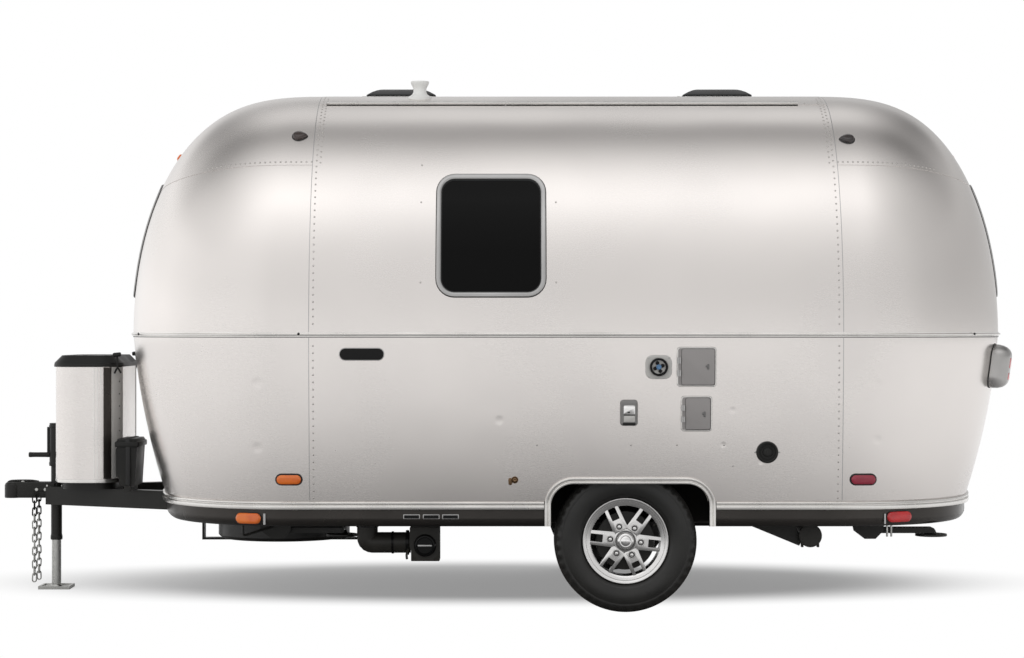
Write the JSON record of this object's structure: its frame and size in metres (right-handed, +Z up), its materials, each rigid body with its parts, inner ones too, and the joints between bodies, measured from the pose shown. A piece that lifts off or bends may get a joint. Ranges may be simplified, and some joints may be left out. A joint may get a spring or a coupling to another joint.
{
  "type": "travel caravan",
  "caption": "Rounded riveted-aluminium travel caravan on one axle, with an A-frame drawbar, tongue jack, side door and hatches.",
  "frame": {"origin": "on the ground under the middle of the overall length and width", "axes": "+Z up, -X towards the drawbar's nose, -Y towards the road side, +Y towards the door's side"},
  "size_m": [5.0818, 2.5035, 2.566],
  "materials": {
    "shell": "satin",
    "rail": "satin",
    "window_frames": "satin",
    "bright": "polished",
    "glass": "polished",
    "underbelly": "satin",
    "floor": "matte",
    "wheel_wells": "matte",
    "fittings": "satin",
    "vent_lids": "satin",
    "white_plastic": "satin",
    "amber_lamps": "polished",
    "red_lamps": "polished",
    "awning": "matte",
    "tyre": "matte",
    "rim": "satin",
    "black_steel": "satin",
    "black_plastic": "matte",
    "zinc_steel": "satin"
  },
  "bodies": {
    "caravan": {"shell_front_upper": "shell", "shell_rear_upper": "shell", "shell_roof": "shell", "shell_left_upper": "shell", "shell_right_upper": "shell", "shell_front_lower": "shell", "shell_rear_lower": "shell", "shell_left_lower": "shell", "shell_right_lower": "shell", "floor": "floor", "underbelly": "underbelly", "rub_rail": "rail", "belt_rail": "rail", "roof_rails": "rail", "wheel_wells": "wheel_wells", "arch_trims": "rail", "window_frames": "window_frames", "window_panes": "glass", "door_hinges": "shell", "hatch_frames": "fittings", "shore_inlet": "fittings", "side_fittings": "fittings", "amber_lamps": "amber_lamps", "red_lamps": "red_lamps", "tail_lamps": "bright", "roof_vent_bases": "fittings", "roof_mast": "white_plastic", "awning": "awning", "axle": "black_steel", "drawbar": "black_steel", "coupler": "black_steel", "jack_tube": "black_steel", "gas_cover": "shell", "gas_cover_lid": "black_plastic", "battery_box": "black_plastic", "safety_chains": "zinc_steel", "spare_tyre": "tyre", "spare_rim": "rim", "spare_carrier": "black_steel", "stabiliser_mounts": "black_steel", "drain": "black_plastic", "hose_tube": "black_plastic", "entry_step": "black_steel"},
    "wheel_left": {"tyre_left": "tyre", "rim_left": "rim"},
    "wheel_right": {"tyre_right": "tyre", "rim_right": "rim"},
    "door": {"door_panel": "shell", "door_pane": "glass", "door_handle": "bright"},
    "hatch_upper": {"hatch_lid_upper": "fittings"},
    "hatch_lower": {"hatch_lid_lower": "fittings"},
    "vent_front": {"roof_vent_lid_front": "vent_lids"},
    "vent_rear": {"roof_vent_lid_rear": "vent_lids"},
    "jack_leg": {"jack_leg": "zinc_steel"},
    "stabiliser_front_left": {"stabiliser_front_left": "zinc_steel"},
    "stabiliser_front_right": {"stabiliser_front_right": "zinc_steel"},
    "stabiliser_rear_left": {"stabiliser_rear_left": "zinc_steel"},
    "stabiliser_rear_right": {"stabiliser_rear_right": "zinc_steel"}
  },
  "joints": [
    {"name": "wheel_left_spin", "type": "hinge", "parent": "caravan", "child": "wheel_left", "pos_m": [0.584, -1.0025, 0.3365], "axis": [0, 1, 0], "continuous": true},
    {"name": "wheel_right_spin", "type": "hinge", "parent": "caravan", "child": "wheel_right", "pos_m": [0.584, 1.0025, 0.3365], "axis": [0, 1, 0], "continuous": true},
    {"name": "door_swing", "type": "hinge", "parent": "caravan", "child": "door", "pos_m": [-0.8, 1.245, 1.13], "axis": [0, 0, 1], "range_deg": [0, 150]},
    {"name": "hatch_upper_swing", "type": "hinge", "parent": "caravan", "child": "hatch_upper", "pos_m": [0.831, -1.23415, 1.159], "axis": [0, 0, -1], "range_deg": [0, 110]},
    {"name": "hatch_lower_swing", "type": "hinge", "parent": "caravan", "child": "hatch_lower", "pos_m": [0.8505, -1.22344, 0.941], "axis": [0, 0, -1], "range_deg": [0, 110]},
    {"name": "vent_front_lift", "type": "hinge", "parent": "caravan", "child": "vent_front", "pos_m": [-0.711, 0, 2.52], "axis": [0, -1, 0], "range_deg": [0, 60]},
    {"name": "vent_rear_lift", "type": "hinge", "parent": "caravan", "child": "vent_rear", "pos_m": [0.899, 0, 2.52], "axis": [0, -1, 0], "range_deg": [0, 60]},
    {"name": "jack_slide", "type": "slide", "parent": "caravan", "child": "jack_leg", "axis": [0, 0, 1], "range_m": [0, 0.225]},
    {"name": "stabiliser_front_left_swing", "type": "hinge", "parent": "caravan", "child": "stabiliser_front_left", "pos_m": [-1.068, -0.85, 0.37], "axis": [0, 1, 0], "range_deg": [0, 60]},
    {"name": "stabiliser_front_right_swing", "type": "hinge", "parent": "caravan", "child": "stabiliser_front_right", "pos_m": [-1.068, 0.85, 0.37], "axis": [0, 1, 0], "range_deg": [0, 60]},
    {"name": "stabiliser_rear_left_swing", "type": "hinge", "parent": "caravan", "child": "stabiliser_rear_left", "pos_m": [1.763, -0.85, 0.37], "axis": [0, 1, 0], "range_deg": [0, 60]},
    {"name": "stabiliser_rear_right_swing", "type": "hinge", "parent": "caravan", "child": "stabiliser_rear_right", "pos_m": [1.763, 0.85, 0.37], "axis": [0, 1, 0], "range_deg": [0, 60]}
  ]
}
